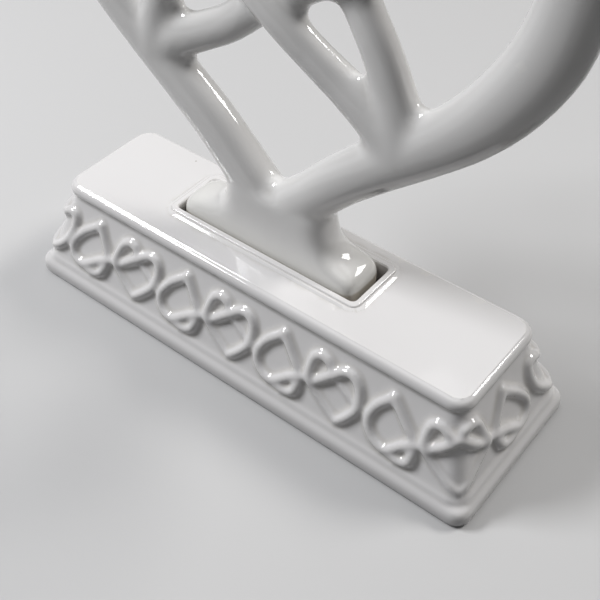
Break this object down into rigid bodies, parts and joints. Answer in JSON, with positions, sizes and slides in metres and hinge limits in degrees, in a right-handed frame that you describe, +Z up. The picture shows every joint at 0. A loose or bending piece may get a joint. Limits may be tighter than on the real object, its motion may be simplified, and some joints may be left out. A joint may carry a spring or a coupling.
{
  "type": "cake topper",
  "caption": "Glazed porcelain cake topper: an openwork interlaced heart on a foot that lifts out of a socket in a moulded plinth with a cord frieze.",
  "frame": {"origin": "on the surface that the plinth stands on, under the middle of the whole object's plan", "axes": "+X along the plinth, -Y towards the front, +Z up"},
  "size_m": [0.1178, 0.039, 0.1331],
  "materials": {
    "glaze": "gloss",
    "cream_glaze": "gloss"
  },
  "bodies": {
    "plinth": {"plinth": "glaze"},
    "figure": {"figure": "cream_glaze"}
  },
  "joints": [
    {"name": "figure_lift", "type": "slide", "parent": "plinth", "child": "figure", "axis": [0, 0, 1], "range_m": [0, 0.02]}
  ]
}
